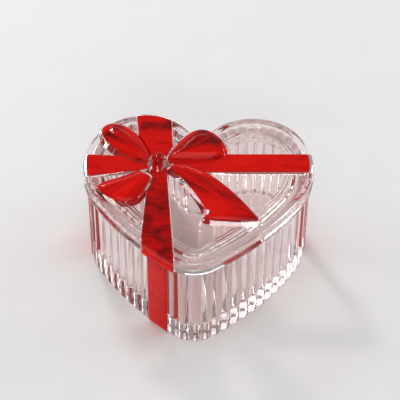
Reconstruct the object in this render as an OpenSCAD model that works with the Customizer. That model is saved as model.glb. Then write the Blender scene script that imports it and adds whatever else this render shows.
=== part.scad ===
// Heart-shaped candy jar of clear pressed glass, with a lift-off lid.
// The lid carries a ribbon cross and a bow in relief. The tops of that relief, and four
// smooth panels of the reeded jar wall, have a thin fired-on ruby coat.
// Frame: +Z up, the heart's tip toward -Y, origin on the table under the middle of the jar.

/* [Heart outline] */
// Width of the lid's glass, lobe to lobe
heart_w = 124; // [112:1:136]
// Radius of the front tip
tip_r = 18; // [16.5:0.5:20]
// Radius of the hollow between the lobes
cleft_r = 3.4; // [3:0.1:5]

/* [Jar] */
// Height of the jar, from the table to its rim
jar_h = 52; // [40:1:64]
// How far the lid overhangs the crests of the reeds
overhang = 2; // [1.5:0.1:2.8]
// Thickness of the jar's glass at the rim, over the reeds
wall = 5; // [4.4:0.1:5.4]
// Thickness of the jar's floor
floor_t = 8; // [5:0.5:12]
// Inward lean of the inner wall, from the rim to the floor
draft = 1.2; // [0.5:0.1:2]
// Height of the plain foot under the reeds
foot_h = 1; // [0.6:0.1:2]
// Width of the smooth panel on the right
panel_right_w = 15; // [12:0.5:17]
// Width of the smooth panel at the back
panel_back_w = 20; // [16:0.5:22]
// Width of the smooth panel on the left
panel_left_w = 19; // [16:0.5:21]
// Width of the smooth panel at the front
panel_front_w = 14; // [12:0.5:18]

/* [Reeds] */
// Spacing of the reeds round the wall
reed_pitch = 6.4; // [5.6:0.1:8]
// Depth of the grooves between the reeds
reed_depth = 1.5; // [1:0.1:1.9]

/* [Lid] */
// Height of the lid's rim above its seat
rim_h = 7.6; // [7.2:0.1:9]
// Width of the flat land on top of the rim
land_w = 2.8; // [2:0.1:4]
// Height of the flat middle of the lid above its seat
field_h = 7; // [6.2:0.1:7.2]
// Thickness of the glass in the middle of the lid
field_t = 4.7; // [4:0.1:5.4]
// Width of each step under the lid
under_step_w = 2; // [1.6:0.1:2.2]
// Height of each step under the lid
under_step_h = 0.6; // [0.3:0.1:0.8]
// Depth of the locating flange below the seat
flange_h = 4.5; // [3:0.1:6]
// Thickness of the locating flange
flange_t = 2.8; // [2:0.1:3]

/* [Ribbon] */
// Width of the left and front arms where they come out from under the knot
ribbon_knot_w = 9; // [7:0.5:11]
// Width of the right arm, the same all along
ribbon_right_w = 15; // [13:0.5:17]
// Width of the back arm at the rim
ribbon_back_w = 20; // [16:0.5:22]
// Width of the back arm at the knot
ribbon_back_knot_w = 17; // [14:0.5:18]
// Width of the left arm at the rim
ribbon_left_w = 18.5; // [16:0.5:20]
// Width of the front arm at the rim
ribbon_front_w = 17; // [14:0.5:19]
// Turn of the ribbon cross on the lid, in degrees
ribbon_turn = 2.3; // [1:0.1:4]
// Rise of the ribbon's relief above the rim
ribbon_rise = 0.8; // [0.6:0.1:1.2]
// How far in from the lid's edge the coat stops on the right, back and left arms
coat_end = 2.6; // [1.6:0.1:3.4]
// Thickness of the ruby coat
coat_t = 0.35; // [0.25:0.05:0.5]

/* [Bow] */
// Rise of the loops and tails above the middle of the lid
bow_rise = 2.6; // [2.2:0.1:3.6]
// Length of the left loop, from the knot
loop_left_l = 43.5; // [38:0.5:44]
// Width of the left loop
loop_left_w = 20; // [17:0.5:22]
// Length of the right loop, from the knot
loop_right_l = 38; // [34:0.5:42]
// Width of the right loop
loop_right_w = 26.6; // [23:0.2:28]
// Width of the knot
knot_w = 13.5; // [12:0.5:15]
// Length of the knot, back to front
knot_l = 17; // [15:0.5:18]
// Height of the knot above the loops
knot_rise = 2.6; // [2:0.1:3.5]

/* [Fits] */
// Gap between the lid's seat and the jar's rim
seat_gap = 0.2; // [0.1:0.05:0.4]
// Gap all round between the flange and the jar's mouth
mouth_gap = 0.5; // [0.4:0.1:0.8]

/* [Hidden] */

glass_colour = "gainsboro";
ruby_colour = "crimson";
// Gap that keeps a coat just off the glass it is fired on
coat_gap = 0.02;
// How deep the relief is rooted in the glass below it
root = 0.6;
// Longest straight step along the outline
outline_step = 4.5;
round_fn = 48;
// Scale of the bow's plan against the width it was drawn at
drawn_w = 124;
plan = heart_w/drawn_w;

// The outline is five tangent arcs on each side of the heart. The angles are where they meet, and
// the lobe's radius is the one that brings the two lobes together at the cleft.
shoulder_r = 53.7;
side_r = 166;
cleft_angle = 23.27;
lobe_end = 27;
shoulder_end = -33;
lobe_r = (heart_w/2-shoulder_r*(1-cos(lobe_end))-cleft_r*cos(cleft_angle))/(cos(cleft_angle)+cos(lobe_end));
shoulder_x = heart_w/2-shoulder_r;
lobe_x = (cleft_r+lobe_r)*cos(cleft_angle);
shoulder_down = (shoulder_r-lobe_r)*sin(lobe_end);
side_x = shoulder_x-(side_r-shoulder_r)*cos(shoulder_end);
side_down = shoulder_down+(side_r-shoulder_r)*sin(shoulder_end);
tip_down = side_down+sqrt(pow(side_r-tip_r, 2)-pow(side_x, 2));
cleft_up = (cleft_r+lobe_r)*sin(cleft_angle);

// The lobes' centres lie where the ribbon's back end and the tip are equally far from the origin
lobe_y = (tip_down+tip_r-lobe_r-ribbon_rise)/2;
tip_end = atan2(side_down-tip_down, -side_x);
cleft_end = -cleft_angle;

function flip(p) = [-p.x, p.y];
LOBE = [lobe_x, lobe_y];
SHOULDER = [shoulder_x, lobe_y-shoulder_down];
SIDE = [side_x, lobe_y-side_down];
TIP = [0, lobe_y-tip_down];
CLEFT = [0, lobe_y+cleft_up];

// Each arc is its centre, radius, first and last angle, and +1 for a bulge or -1 for a hollow.
// They run counter-clockwise from the tip.
ARCS = [
    [TIP, tip_r, -90, tip_end, 1],
    [SIDE, side_r, tip_end, shoulder_end, 1],
    [SHOULDER, shoulder_r, shoulder_end, lobe_end, 1],
    [LOBE, lobe_r, lobe_end, 180+cleft_end, 1],
    [CLEFT, cleft_r, cleft_end, -180-cleft_end, -1],
    [flip(LOBE), lobe_r, -cleft_end, 180-lobe_end, 1],
    [flip(SHOULDER), shoulder_r, 180-lobe_end, 180-shoulder_end, 1],
    [flip(SIDE), side_r, 180-shoulder_end, 180-tip_end, 1],
    [TIP, tip_r, 180-tip_end, 270, 1]];
RIGHT_SHOULDER = 2;
LEFT_LOBE = 5;
LEFT_SHOULDER = 6;
LEFT_SIDE = 7;

function ray(angle) = [cos(angle), sin(angle)];
function arc_radius(arc, inset) = arc[1]-arc[4]*inset;
function arc_point(arc, angle, inset) = arc[0]+arc_radius(arc, inset)*ray(angle);
function arc_length(arc, inset) = arc_radius(arc, inset)*abs(arc[3]-arc[2])*PI/180;
function arc_steps(arc) = max(3, ceil(arc_length(arc, 0)/outline_step));

// The heart outline, drawn in by an inset
function heart(inset) = [for (arc = ARCS) let (n = arc_steps(arc)) for (i = [0:n-1])
    arc_point(arc, arc[2]+(arc[3]-arc[2])*i/n, inset)];
function level(points, z) = [for (p = points) [p.x, p.y, z]];
function heart_ring(inset, z) = level(heart(inset), z);
// A place inside the heart from which its whole outline can be seen, past the hollow of the cleft
LOOKOUT = plan*[6, -24];

// Joins closed rings of equal length into one solid. Each end is closed by a fan about its middle
// or about a given place, or by a strip across it where the ring is long and thin.
function mean(points) = [for (i = [0:2]) [for (p = points) p[i]]*[for (p = points) 1]]/len(points);
module stack(rings, strip = false, place = undef) {
    n = len(rings[0]);
    last = (len(rings)-1)*n;
    low_middle = last+n;
    high_middle = low_middle+1;
    sides = [for (k = [0:len(rings)-2], j = [0:n-1])
        let (a = k*n+j, b = k*n+(j+1)%n)
        each [[a, a+n, b+n], [a, b+n, b]]];
    fans = [for (j = [0:n-1]) let (next = (j+1)%n)
        each [[low_middle, j, next], [high_middle, last+next, last+j]]];
    strips = [for (j = [0:n/2-2]) let (b = n-2-j, a = n-1-j)
        each [[j, j+1, b], [j, b, a], [last+b, last+j+1, last+j], [last+a, last+b, last+j]]];
    ends = [rings[0], rings[len(rings)-1]];
    middles = strip ? [] : [for (r = ends) is_undef(place) ? mean(r) : [place.x, place.y, r[0].z]];
    polyhedron(concat([for (r = rings) each r], middles), concat(sides, strip ? strips : fans));
}

// Places round the wall, measured along the crests of the reeds from the tip
function run_to(k) = k <= 0 ? 0 : run_to(k-1)+arc_length(ARCS[k-1], overhang);
run_all = run_to(len(ARCS));
function arc_at(run, k = 0) = run <= run_to(k+1) || k == len(ARCS)-1 ? k : arc_at(run, k+1);
function angle_at(run, k) = let (arc = ARCS[k], share = (run-run_to(k))/arc_length(arc, overhang))
    arc[2]+(arc[3]-arc[2])*share;

// Each panel is the arc it lies on, the angle of its middle under the end of a ribbon, and its width
panel_right = [RIGHT_SHOULDER, 1.6, panel_right_w];
panel_back = [LEFT_LOBE, 80, panel_back_w];
panel_left = [LEFT_SHOULDER, 185, panel_left_w];
panel_front = [LEFT_SIDE, 230.3, panel_front_w];
PANELS = [panel_right, panel_back, panel_left, panel_front];
function panel_half(panel) = panel[2]/2/arc_radius(ARCS[panel[0]], overhang)*180/PI;
function panel_run(panel) = let (arc = ARCS[panel[0]])
    run_to(panel[0])+(panel[1]-arc[2])*PI/180*arc_radius(arc, overhang);
panel_steps = 6;

// A sector of wall under a ribbon, between two insets
module panel_sector(panel, outer, inner) {
    arc = ARCS[panel[0]];
    half = panel_half(panel);
    angles = [for (i = [0:panel_steps]) panel[1]-half+2*half*i/panel_steps];
    back_angles = [for (i = [0:panel_steps]) angles[panel_steps-i]];
    polygon(concat([for (a = angles) arc_point(arc, a, outer)],
        [for (a = back_angles) arc_point(arc, a, inner)]));
}

// Reeds share out each stretch of wall between two panels
reed_r = (reed_pitch*reed_pitch/4+reed_depth*reed_depth)/(2*reed_depth);
groove = overhang+reed_depth;
function stretch(i) = let (next = PANELS[(i+1)%len(PANELS)], lap = i+1 < len(PANELS) ? 0 : run_all)
    [panel_run(PANELS[i])+PANELS[i][2]/2, lap+panel_run(next)-next[2]/2];
function reed_runs(from, to) = let (n = round((to-from)/reed_pitch))
    [for (i = [0:n-1]) from+(to-from)*(i+0.5)/n];
REED_RUNS = [for (i = [0:len(PANELS)-1]) each reed_runs(stretch(i)[0], stretch(i)[1])];

module reed_circles() {
    for (far = REED_RUNS) {
        run = far % run_all;
        k = arc_at(run);
        translate(arc_point(ARCS[k], angle_at(run, k), overhang+reed_r)) circle(reed_r, $fn = round_fn);
    }
}

// The jar's inside, from the floor up past the rim
mouth = overhang+wall;
floor_round = 4;
spill = 2;
module jar_hollow() {
    corner = [for (a = [0:30:90]) [floor_round*(1-sin(a)), floor_round*(1-cos(a))]];
    stack(concat(
        [for (c = corner) heart_ring(mouth+draft+c[0], floor_t+c[1])],
        [heart_ring(mouth, jar_h), heart_ring(mouth, jar_h+spill)]), place = LOOKOUT);
}

module jar_bowl() {
    color(glass_colour, 0.4) difference() {
        union() {
            linear_extrude(foot_h) polygon(heart(groove));
            translate([0, 0, foot_h]) linear_extrude(jar_h-foot_h) {
                polygon(heart(groove));
                reed_circles();
                for (panel = PANELS) panel_sector(panel, overhang, groove+1);
            }
        }
        jar_hollow();
    }
}

module jar_panel(panel) {
    color(ruby_colour) translate([0, 0, foot_h]) linear_extrude(jar_h-foot_h)
        panel_sector(panel, overhang-coat_gap-coat_t, overhang-coat_gap);
}

// Section through the lid's edge: inset from the outline, and height above the seat
seat_z = jar_h+seat_gap;
bead_h = 2.6;
bead_out = 0.6;
edge = 0.5;
flange_in = mouth+mouth_gap;
hollow_in = flange_in+flange_t;
hollow_z = field_h-field_t;
land_out = bead_out+0.9;
land_in = land_out+land_w;
land_slope = 0.7;
RIM_PATH = [[0, edge], [0, bead_h-0.3], [bead_out, bead_h+0.3], [bead_out, rim_h-0.9],
    [bead_out+0.3, rim_h-0.25], [land_out, rim_h], [land_in, rim_h], [land_in+land_slope, field_h]];
// The ribbon's way up the side of the lid and over its land
ARM_PATH = [[0.1, edge+0.25], [0.1, bead_h-0.5], [bead_out+0.1, bead_h+0.6], [bead_out+0.1, rim_h-1.3],
    [bead_out+0.5, rim_h-0.5], [land_out+0.5, rim_h], [land_in-0.9, rim_h]];
// The underside drops in two steps from the flange to the middle
under_slope = 0.5;
under_out = hollow_in+0.7;
under_mid = under_out+under_step_w;
under_in = under_mid+under_step_w;
UNDER_PATH = [[under_in, hollow_z], [under_in-under_slope, hollow_z+under_step_h],
    [under_mid, hollow_z+under_step_h], [under_mid-under_slope, hollow_z+2*under_step_h],
    [under_out, hollow_z+2*under_step_h], [hollow_in+0.3, hollow_z+under_step_h],
    [hollow_in, edge-flange_h], [hollow_in-edge, -flange_h], [flange_in+edge, -flange_h],
    [flange_in, edge-flange_h], [flange_in, 0], [edge, 0]];
LID_PATH = concat(UNDER_PATH, RIM_PATH);

// A section path moved outward along its own normals
function unit(v) = v/norm(v);
function normal(path, i) = let (t = unit(path[min(i+1, len(path)-1)]-path[max(i-1, 0)])) [-t.y, t.x];
function grown(path, by) = [for (i = [0:len(path)-1]) path[i]+by*normal(path, i)];

// The ribbon cross: its middle under the knot
KNOT = plan*[-21.6, 16.3];
// Each arm is the arc it crosses, its heading, and its widths under the knot and at the rim
arm_right = [RIGHT_SHOULDER, ribbon_turn, ribbon_right_w, ribbon_right_w];
arm_back = [LEFT_LOBE, 94+ribbon_turn, ribbon_back_knot_w, ribbon_back_w];
arm_left = [LEFT_SHOULDER, 182.5+ribbon_turn, ribbon_knot_w, ribbon_left_w];
arm_front = [LEFT_SIDE, 270.3+ribbon_turn, ribbon_knot_w, ribbon_front_w];
arm_columns = 6;

// A line along the arm, at a share of its half width: where it starts and the way it runs
function arm_line(arm, share) = let (d = ray(arm[1]), n = [-d.y, d.x], from = KNOT+share*arm[2]/2*n,
    to = KNOT+arm_reach(arm, [KNOT, d], 0)*d+share*arm[3]/2*n) [from, unit(to-from)];
// How far along a line it meets the outline drawn in by an inset
function arm_reach(arm, line, inset) = let (arc = ARCS[arm[0]], q = line[0]-arc[0], qd = q*line[1])
    -qd+sqrt(qd*qd-q*q+pow(arc_radius(arc, inset), 2));
function arm_place(line, far, z) = let (p = line[0]+far*line[1]) [p.x, p.y, seat_z+z];
// Shares across the arm, from one edge to the other
function arm_shares(half) = [for (j = [0:arm_columns]) half-2*half*j/arm_columns];

// One crossing of an arm: a closed loop over its upper and under paths at the same step
function arm_row(arm, half, step) = [for (share = arm_shares(half)) let (line = arm_line(arm, share))
    arm_place(line, arm_reach(arm, line, step.x), step.y)];
function arm_loop(arm, half, under, over) = concat(arm_row(arm, half, under), arm_row(arm, -half, over));
// The arm starts a little way outside the bow's outlines
bow_clear = 1;
function cross2(a, b) = a.x*b.y-a.y*b.x;
function far_edge(points, from, d) = max([0, for (i = [0:len(points)-1])
    let (a = points[i], side = points[(i+1)%len(points)]-a, lean = cross2(d, side))
    let (u = cross2(a-from, d)/lean) if (u >= 0 && u <= 1) cross2(a-from, side)/lean]);
function arm_begin(line) = bow_clear+max([for (outline = BOW) far_edge(outline, line[0], line[1])]);
function start_row(arm, half, z) = [for (share = arm_shares(half)) let (line = arm_line(arm, share))
    arm_place(line, arm_begin(line), z)];

// An arm between two heights over its path, level from the rim in to the bow
module arm_solid(arm, half, low, high, path) {
    under = grown(path, low);
    over = grown(path, high);
    begin = concat(start_row(arm, half, rim_h+low), start_row(arm, -half, rim_h+high));
    stack(concat([for (i = [0:len(path)-1]) arm_loop(arm, half, under[i], over[i])], [begin]), strip = true);
}

// On three arms the coat stops on the land of the rim. On the front arm it goes on down the side.
TOP_PATH = [[coat_end, rim_h], [land_in+0.6, rim_h]];
module ribbon_coat(arm, path) {
    side_bare = 0.4;
    under = ribbon_rise+coat_gap;
    color(ruby_colour) difference() {
        arm_solid(arm, 1-2*side_bare/arm[3], under, under+coat_t, path);
        for (outline = BOW) bow_room(outline);
    }
}

// Outlines of the bow's pieces in plan
egg_points = 40;
// A loop: where it leaves the knot, its heading, length and width, and how much its far end swells
function loop_outline(from, heading, length, width, swell) = [for (i = [0:egg_points-1])
    let (a = 360*i/egg_points, x = length/2*(1+cos(a)), y = width/2*sin(a)*(1+swell*cos(a)), d = ray(heading))
    plan*from+x*d+y*[-d.y, d.x]];
LOOP_LEFT = loop_outline([-25.5, 14], 129, loop_left_l, loop_left_w, 0.32);
LOOP_RIGHT = loop_outline([-18.8, 17.9], 32, loop_right_l, loop_right_w, 0.6);
KNOT_OUTLINE = loop_outline([-21.6, 16-knot_l/2], 90, knot_l, knot_w, 0);

// A tail: corners joined by straight sides, each side cut into short steps
side_cuts = 4;
function along_sides(corners) = [for (i = [0:len(corners)-1], j = [0:side_cuts-1])
    plan*(corners[i]+(corners[(i+1)%len(corners)]-corners[i])*j/side_cuts)];
TAIL_LEFT = along_sides([[-29, 12.5], [-39, 5], [-52, -2.5], [-49.5, -10.5], [-43, -16], [-37, -18],
    [-31.5, -16.5], [-27.5, -12], [-22, 5]]);
TAIL_RIGHT = along_sides([[-14.5, 8], [-6.8, -1], [-1.2, -10.6], [3.6, -20.6], [2.8, -27], [6, -29.5],
    [34.5, -30], [35.5, -27], [18.5, -2], [3.6, 12]]);
BOW = [LOOP_LEFT, LOOP_RIGHT, TAIL_LEFT, TAIL_RIGHT, KNOT_OUTLINE];

function middle(points) = [for (i = [0, 1]) let (v = [for (p = points) p[i]]) (min(v)+max(v))/2];
function shrunk(points, share, z) = let (c = middle(points))
    level([for (p = points) c+(p-c)*share], seat_z+z);
// Rise of a pillowed top at a share of the way from its middle to its edge
function pillow(share, swell) = swell*(1-share*share);

// The room that a piece of the bow takes where it stands through a lower coat
room_clear = 0.3;
module bow_room(points) {
    translate([0, 0, seat_z+field_h-root]) linear_extrude(bow_rise+knot_rise+root)
        offset(delta = room_clear) polygon(points);
}

// A piece of the bow in clear relief, rooted in the lid
pillow_shares = [0.88, 0.84, 0.65, 0.35];
edge_share = pillow_shares[0];
edge_drop = 0.35;
function top_z(share, rise, swell) = field_h+rise+pillow(share, swell)-(share == edge_share ? edge_drop : 0);
module bow_relief(points, rise, swell) {
    stack(concat([shrunk(points, 1, field_h-root), shrunk(points, 1, field_h)],
        [for (s = pillow_shares) shrunk(points, s, top_z(s, rise, swell))]));
}

// The ruby coat on the top of a piece of the bow
coat_shares = [0.35, 0.65, 0.84];
module bow_coat(points, rise, swell) {
    n = len(coat_shares);
    color(ruby_colour) stack(concat(
        [for (s = coat_shares) shrunk(points, s, top_z(s, rise, swell)+coat_gap)],
        [for (i = [0:n-1]) let (s = coat_shares[n-1-i])
            shrunk(points, s, top_z(s, rise, swell)+coat_gap+coat_t)]));
}
loop_swell = 1.2;
tail_swell = 0.5;
knot_swell = 1.6;
knot_top = bow_rise+knot_rise;

module lid() {
    color(glass_colour, 0.4) union() {
        stack([for (p = LID_PATH) heart_ring(p.x, seat_z+p.y)], place = LOOKOUT);
        for (arm = [arm_right, arm_back, arm_left, arm_front])
            arm_solid(arm, 1, field_h-rim_h-root, ribbon_rise, ARM_PATH);
        bow_relief(LOOP_LEFT, bow_rise, loop_swell);
        bow_relief(LOOP_RIGHT, bow_rise, loop_swell);
        bow_relief(TAIL_LEFT, bow_rise, tail_swell);
        bow_relief(TAIL_RIGHT, bow_rise, tail_swell);
        bow_relief(KNOT_OUTLINE, knot_top, knot_swell);
    }
}

module jar_panel_right() { jar_panel(panel_right); }
module jar_panel_back() { jar_panel(panel_back); }
module jar_panel_left() { jar_panel(panel_left); }
module jar_panel_front() { jar_panel(panel_front); }
module ribbon_right() { ribbon_coat(arm_right, TOP_PATH); }
module ribbon_back() { ribbon_coat(arm_back, TOP_PATH); }
module ribbon_left() { ribbon_coat(arm_left, TOP_PATH); }
module ribbon_front() { ribbon_coat(arm_front, ARM_PATH); }
module loop_coat(points) {
    difference() {
        bow_coat(points, bow_rise, loop_swell);
        bow_room(KNOT_OUTLINE);
    }
}
module bow_loop_left() { loop_coat(LOOP_LEFT); }
module bow_loop_right() { loop_coat(LOOP_RIGHT); }
module bow_tail_left() { bow_coat(TAIL_LEFT, bow_rise, tail_swell); }
module bow_tail_right() { bow_coat(TAIL_RIGHT, bow_rise, tail_swell); }
module bow_knot() { bow_coat(KNOT_OUTLINE, knot_top, knot_swell); }

jar_bowl();
jar_panel_right();
jar_panel_back();
jar_panel_left();
jar_panel_front();
lid();
ribbon_right();
ribbon_back();
ribbon_left();
ribbon_front();
bow_loop_left();
bow_loop_right();
bow_tail_left();
bow_tail_right();
bow_knot();
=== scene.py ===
# %% [markdown]
# # A heart-shaped candy jar in pressed glass
# The real jar is two castings of clear glass: a reeded bowl and a lid with a ribbon and a bow
# raised on it. A thin ruby coat is fired on the ribbon and the bow, and on four smooth panels
# of the bowl below the ribbon's ends. The CAD model gives every size. This script lays finer,
# rounder meshes over it and gives them their glass and their ruby.

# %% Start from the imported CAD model
import math

import bpy
import numpy as np
from mathutils import Matrix, Vector
from mathutils.geometry import delaunay_2d_cdt


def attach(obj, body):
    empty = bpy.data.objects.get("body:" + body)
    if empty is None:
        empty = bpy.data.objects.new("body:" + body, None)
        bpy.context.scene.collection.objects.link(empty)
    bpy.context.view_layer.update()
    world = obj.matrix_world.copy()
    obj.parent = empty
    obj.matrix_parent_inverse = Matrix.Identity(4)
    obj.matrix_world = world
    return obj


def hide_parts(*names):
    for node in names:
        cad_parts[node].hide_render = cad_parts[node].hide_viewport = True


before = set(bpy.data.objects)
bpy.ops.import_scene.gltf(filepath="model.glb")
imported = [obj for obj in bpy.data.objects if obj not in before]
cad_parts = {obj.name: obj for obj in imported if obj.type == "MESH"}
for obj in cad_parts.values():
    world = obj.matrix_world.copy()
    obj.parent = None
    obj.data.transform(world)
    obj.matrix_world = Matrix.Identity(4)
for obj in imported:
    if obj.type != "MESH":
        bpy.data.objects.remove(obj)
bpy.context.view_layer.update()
MM = 0.001
print("CAD nodes:", sorted(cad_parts))

# %% [markdown]
# The heart's outline is five tangent arcs on each side: tip, side, shoulder, lobe and cleft.
# A free-hand curve could be traced, but arcs can be drawn in by any inset and stay smooth,
# and every ring of the bowl and the lid is the same outline at another inset.

# %% The heart's outline in arcs
HEART_W = 124 * MM
TIP_R = 18 * MM
CLEFT_R = 3.4 * MM
LOBE_R = 29.3 * MM
SHOULDER_R = 53.7 * MM
SIDE_R = 166 * MM
LOBE_END = math.radians(27)
SHOULDER_END = math.radians(-33)
RIBBON_RISE = 0.8 * MM

shoulder_x = HEART_W / 2 - SHOULDER_R
lobe_x = shoulder_x + (SHOULDER_R - LOBE_R) * math.cos(LOBE_END)
shoulder_down = (SHOULDER_R - LOBE_R) * math.sin(LOBE_END)
side_x = shoulder_x - (SIDE_R - SHOULDER_R) * math.cos(SHOULDER_END)
side_down = shoulder_down + (SIDE_R - SHOULDER_R) * math.sin(SHOULDER_END)
tip_down = side_down + math.sqrt((SIDE_R - TIP_R) ** 2 - side_x ** 2)
cleft_up = math.sqrt((CLEFT_R + LOBE_R) ** 2 - lobe_x ** 2)
lobe_y = (tip_down + TIP_R - LOBE_R - RIBBON_RISE) / 2
tip_end = math.atan2(side_down - tip_down, -side_x)
cleft_end = math.atan2(-cleft_up, lobe_x)

LOBE = (lobe_x, lobe_y)
SHOULDER = (shoulder_x, lobe_y - shoulder_down)
SIDE = (side_x, lobe_y - side_down)
TIP = (0.0, lobe_y - tip_down)
CLEFT = (0.0, lobe_y + cleft_up)


def across(point):
    return (-point[0], point[1])


PI = math.pi
# Each arc: centre, radius, first and last angle, +1 for a bulge or -1 for a hollow
ARCS = [
    (TIP, TIP_R, -PI / 2, tip_end, 1),
    (SIDE, SIDE_R, tip_end, SHOULDER_END, 1),
    (SHOULDER, SHOULDER_R, SHOULDER_END, LOBE_END, 1),
    (LOBE, LOBE_R, LOBE_END, PI + cleft_end, 1),
    (CLEFT, CLEFT_R, cleft_end, -PI - cleft_end, -1),
    (across(LOBE), LOBE_R, -cleft_end, PI - LOBE_END, 1),
    (across(SHOULDER), SHOULDER_R, PI - LOBE_END, PI - SHOULDER_END, 1),
    (across(SIDE), SIDE_R, PI - SHOULDER_END, PI - tip_end, 1),
    (TIP, TIP_R, PI - tip_end, 3 * PI / 2, 1),
]
RIGHT_SHOULDER = 2
LEFT_LOBE = 5
LEFT_SHOULDER = 6
LEFT_SIDE = 7
print("arcs:", len(ARCS))

# %% [markdown]
# A place on the outline is kept as an arc and an angle on it, not as a point. A ring at any inset
# and any height then takes one line of arithmetic, and points of two rings always face each other.

# %% Rings of the heart
def columns_at(arc_ids, angles):
    """Places round the outline, each on an arc at an angle."""
    arcs = [ARCS[k] for k in arc_ids]
    angles = np.asarray(angles)
    return {
        "centre": np.array([a[0] for a in arcs]),
        "radius": np.array([a[1] for a in arcs]),
        "bulge": np.array([a[4] for a in arcs]),
        "ray": np.stack([np.cos(angles), np.sin(angles)], axis=1),
    }


def ring(columns, inset, z):
    """The outline drawn in by an inset, at a height."""
    reach = columns["radius"] - columns["bulge"] * inset
    plan = columns["centre"] + reach[:, None] * columns["ray"]
    return np.column_stack([plan, np.full(len(plan), z)])


def arc_length(k, inset):
    centre, radius, start, end, bulge = ARCS[k]
    return (radius - bulge * inset) * abs(end - start)


print("outline from y", round(TIP[1] - TIP_R, 4), "to", round(lobe_y + LOBE_R, 4))

# %% [markdown]
# Everything here is a stack of rings, joined by quads and closed at both ends, so one helper
# makes the meshes. Corner cutting rounds a section the way a mould rounds it: each pass
# replaces a corner by two points a quarter of the way along its sides.

# %% Helpers that make meshes
def cut_corners(path, passes, closed=False):
    path = np.asarray(path, float)
    for _ in range(passes):
        ahead = np.roll(path, -1, axis=0)
        near = 0.75 * path + 0.25 * ahead
        far = 0.25 * path + 0.75 * ahead
        cut = np.stack([near, far], axis=1).reshape(-1, path.shape[1])
        if closed:
            path = cut
        else:
            path = np.vstack([path[:1], cut[:-2], path[-1:]])
    return path


def stacked(rings, capped=True):
    """Vertices and faces of a stack of closed rings, outward for rings that climb outside."""
    count = len(rings[0])
    verts = np.vstack(rings)
    faces = []
    for k in range(len(rings) - 1):
        for j in range(count):
            a = k * count + j
            b = k * count + (j + 1) % count
            faces.append((a, b, b + count, a + count))
    if capped:
        last = (len(rings) - 1) * count
        faces.append(tuple(range(count - 1, -1, -1)))
        faces.append(tuple(range(last, last + count)))
    return verts, faces


def piece(name, verts, faces, material=None):
    """A mesh object at the origin, with smooth faces."""
    mesh = bpy.data.meshes.new(name)
    mesh.from_pydata([tuple(v) for v in verts], [], [tuple(f) for f in faces])
    mesh.update()
    mesh.shade_smooth()
    if material:
        mesh.materials.append(material)
    obj = bpy.data.objects.new(name, mesh)
    bpy.context.scene.collection.objects.link(obj)
    return obj


print("mesh helpers ready")

# %% [markdown]
# Pressed relief and glass are one body, so separate solids have to be joined. The boolean modifier
# does that, and its result is turned into plain mesh at once. Every edge of a closed solid has two
# faces, and a count of the others tells whether a solid is sound.

# %% Helpers that combine solids
def settled(obj):
    """Turns the object's modifiers into plain mesh."""
    graph = bpy.context.evaluated_depsgraph_get()
    mesh = bpy.data.meshes.new_from_object(obj.evaluated_get(graph))
    obj.modifiers.clear()
    obj.data = mesh
    mesh.name = obj.name
    return obj


def combine(obj, operation, others):
    """Joins other closed solids to obj, or cuts them from it."""
    for other in others:
        step = obj.modifiers.new("combine", "BOOLEAN")
        step.operation = operation
        step.solver = "MANIFOLD"
        step.object = other
    return settled(obj)


def drop(objs):
    for obj in objs:
        bpy.data.objects.remove(obj, do_unlink=True)


def open_edges(obj):
    uses = np.zeros(len(obj.data.edges), int)
    loops = np.zeros(len(obj.data.loops), int)
    obj.data.loops.foreach_get("edge_index", loops)
    np.add.at(uses, loops, 1)
    return int((uses != 2).sum())


print("solid helpers ready")

# %% [markdown]
# Pressed glass is never optically flat. The mould leaves shallow waves a few millimetres long,
# and fire-polishing leaves some places a touch less bright. Both effects are also wanted on
# the ruby coat, so they are one shader group that puts out a height and a haze.

# %% A group for the skin of pressed glass
def new_group(name, inputs, outputs):
    group = bpy.data.node_groups.new(name, "ShaderNodeTree")
    for label, kind, value in inputs:
        socket = group.interface.new_socket(label, in_out="INPUT", socket_type=kind)
        if value is not None:
            socket.default_value = value
    for label, kind in outputs:
        group.interface.new_socket(label, in_out="OUTPUT", socket_type=kind)
    return group


def node(tree, kind, links=None, **settings):
    """Adds a node, sets its properties, and links or sets its inputs."""
    made = tree.nodes.new(kind)
    for key, value in settings.items():
        setattr(made, key, value)
    for key, value in (links or {}).items():
        socket = made.inputs[key]
        if isinstance(value, bpy.types.NodeSocket):
            tree.links.new(value, socket)
        else:
            socket.default_value = value
    return made


def maths(tree, operation, *values):
    """A Math node's result."""
    return node(tree, "ShaderNodeMath", dict(enumerate(values)), operation=operation).outputs[0]


def fade(tree, value, start, end, low, high):
    """A value that goes from low to high while the given one goes from start to end."""
    return node(tree, "ShaderNodeMapRange",
                {"Value": value, "From Min": start, "From Max": end, "To Min": low,
                 "To Max": high}).outputs["Result"]


FLOAT = "NodeSocketFloat"
VECTOR = "NodeSocketVector"
CLOUD_SCALE = 60.0
CLOUD_FROM = 0.35
CLOUD_TO = 0.7
skin_group = new_group(
    "pressed glass skin",
    [("Place", VECTOR, None), ("Wave Scale", FLOAT, 160.0), ("Haze Low", FLOAT, 0.0),
     ("Haze High", FLOAT, 0.04)],
    [("Height", FLOAT), ("Haze", FLOAT)],
)
given = node(skin_group, "NodeGroupInput").outputs
wave = node(skin_group, "ShaderNodeTexNoise",
            {"Vector": given["Place"], "Scale": given["Wave Scale"], "Detail": 2.0, "Roughness": 0.4})
cloud = node(skin_group, "ShaderNodeTexNoise",
             {"Vector": given["Place"], "Scale": CLOUD_SCALE, "Detail": 3.0})
haze = fade(skin_group, cloud.outputs["Fac"], CLOUD_FROM, CLOUD_TO, given["Haze Low"],
            given["Haze High"])
node(skin_group, "NodeGroupOutput", {"Height": wave.outputs["Fac"], "Haze": haze})
print("group:", skin_group.name)

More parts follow.
